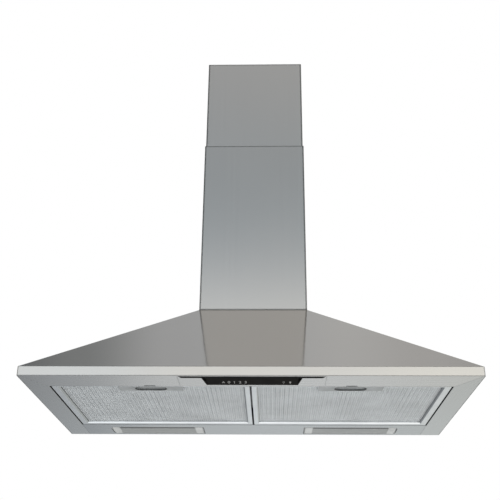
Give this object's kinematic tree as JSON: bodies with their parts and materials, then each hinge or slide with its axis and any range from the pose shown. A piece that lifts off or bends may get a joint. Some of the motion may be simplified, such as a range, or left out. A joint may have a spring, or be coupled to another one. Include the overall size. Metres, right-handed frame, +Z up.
{
  "type": "chimney range hood",
  "caption": "Wall-mounted chimney range hood: pyramid canopy, telescopic chimney cover, grease filters, lamps, slide switches and a blower inside.",
  "frame": {"origin": "on the wall plane, midway between the two hanging keyholes, 175 mm above the underside of the rim", "axes": "+Z up, +Y into the wall, +X to the right of a person who faces the hood"},
  "size_m": [0.898, 0.5, 0.936],
  "materials": {
    "stainless": "brushed stainless steel, front faces finely polished",
    "galvanised": "galvanised sheet, matt",
    "aluminium": "satin aluminium",
    "grease_mesh": "layered expanded aluminium mesh",
    "black_plastic": "black moulded plastic",
    "grey_plastic": "grey moulded plastic",
    "dark_plastic": "dark glass-filled plastic",
    "white_plastic": "white moulded plastic",
    "frosted_cover": "frosted ribbed polycarbonate",
    "bulb_glass": "opal bulb glass",
    "board": "glass-fibre circuit board",
    "motor_steel": "plated motor shell"
  },
  "bodies": {
    "hood": {"canopy_shell": "stainless", "back_panel": "galvanised", "bottom_frame": "stainless", "bottom_frame_left": "stainless", "bottom_frame_right": "stainless", "lamp_panel": "stainless", "control_plate": "stainless", "control_housing": "black_plastic", "switch_board": "board", "scroll_left": "galvanised", "scroll_right": "galvanised", "motor_body": "motor_steel", "motor_spider": "galvanised", "outlet_collar": "dark_plastic", "damper_spindle": "motor_steel", "electrics_box": "dark_plastic", "electrics_lid": "dark_plastic", "terminal_block": "white_plastic", "motor_capacitor": "aluminium", "cable_gland": "black_plastic", "chimney_lower": "stainless", "chimney_foot_left": "galvanised", "chimney_foot_right": "galvanised", "lamp_reflector_left": "aluminium", "lamp_reflector_right": "aluminium", "lamp_socket_left": "white_plastic", "lamp_socket_right": "white_plastic", "lamp_bulb_left": "bulb_glass", "lamp_bulb_right": "bulb_glass"},
    "chimney_top": {"chimney_upper": "stainless", "chimney_bracket": "galvanised"},
    "fan_wheel": {"impeller": "dark_plastic", "impeller_left": "dark_plastic", "motor_shaft": "motor_steel"},
    "damper_rear": {"damper_flap_rear": "dark_plastic"},
    "damper_front": {"damper_flap_front": "dark_plastic"},
    "filter_left": {"filter_frame_left": "aluminium", "filter_mesh_left": "grease_mesh", "latch_housing_left": "grey_plastic"},
    "filter_right": {"filter_frame_right": "aluminium", "filter_mesh_right": "grease_mesh", "latch_housing_right": "grey_plastic"},
    "latch_left": {"latch_slide_left": "grey_plastic"},
    "latch_right": {"latch_slide_right": "grey_plastic"},
    "lens_left": {"lamp_lens_left": "frosted_cover"},
    "lens_right": {"lamp_lens_right": "frosted_cover"},
    "fan_knob": {"fan_slider": "black_plastic"},
    "lamp_knob": {"lamp_slider": "black_plastic"}
  },
  "joints": [
    {"name": "chimney_slide", "type": "slide", "parent": "hood", "child": "chimney_top", "axis": [0, 0, 1], "range_m": [-0.244, 0.08]},
    {"name": "fan_spin", "type": "hinge", "parent": "hood", "child": "fan_wheel", "pos_m": [0, -0.166, -0.055], "axis": [1, 0, 0], "continuous": true},
    {"name": "damper_rear_hinge", "type": "hinge", "parent": "hood", "child": "damper_rear", "pos_m": [0, -0.117, 0.0873], "axis": [1, 0, 0], "range_deg": [0, 75]},
    {"name": "damper_front_hinge", "type": "hinge", "parent": "hood", "child": "damper_front", "pos_m": [0, -0.117, 0.0873], "axis": [-1, 0, 0], "range_deg": [0, 75]},
    {"name": "filter_left_hinge", "type": "hinge", "parent": "hood", "child": "filter_left", "pos_m": [-0.20075, -0.0975, -0.174], "axis": [1, 0, 0], "range_deg": [0, 60]},
    {"name": "latch_left_slide", "type": "slide", "parent": "filter_left", "child": "latch_left", "axis": [0, 1, 0], "range_m": [0, 0.007], "stiffness_N_per_m": 300, "springref_m": -0.01},
    {"name": "lens_left_hinge", "type": "hinge", "parent": "hood", "child": "lens_left", "pos_m": [-0.22975, -0.009, -0.174], "axis": [1, 0, 0], "range_deg": [0, 65]},
    {"name": "filter_right_hinge", "type": "hinge", "parent": "hood", "child": "filter_right", "pos_m": [0.20075, -0.0975, -0.174], "axis": [1, 0, 0], "range_deg": [0, 60]},
    {"name": "latch_right_slide", "type": "slide", "parent": "filter_right", "child": "latch_right", "axis": [0, 1, 0], "range_m": [0, 0.007], "stiffness_N_per_m": 300, "springref_m": -0.01},
    {"name": "lens_right_hinge", "type": "hinge", "parent": "hood", "child": "lens_right", "pos_m": [0.22975, -0.009, -0.174], "axis": [1, 0, 0], "range_deg": [0, 65]},
    {"name": "fan_switch", "type": "slide", "parent": "hood", "child": "fan_knob", "axis": [1, 0, 0], "range_m": [0, 0.033]},
    {"name": "lamp_switch", "type": "slide", "parent": "hood", "child": "lamp_knob", "axis": [1, 0, 0], "range_m": [0, 0.013]}
  ]
}
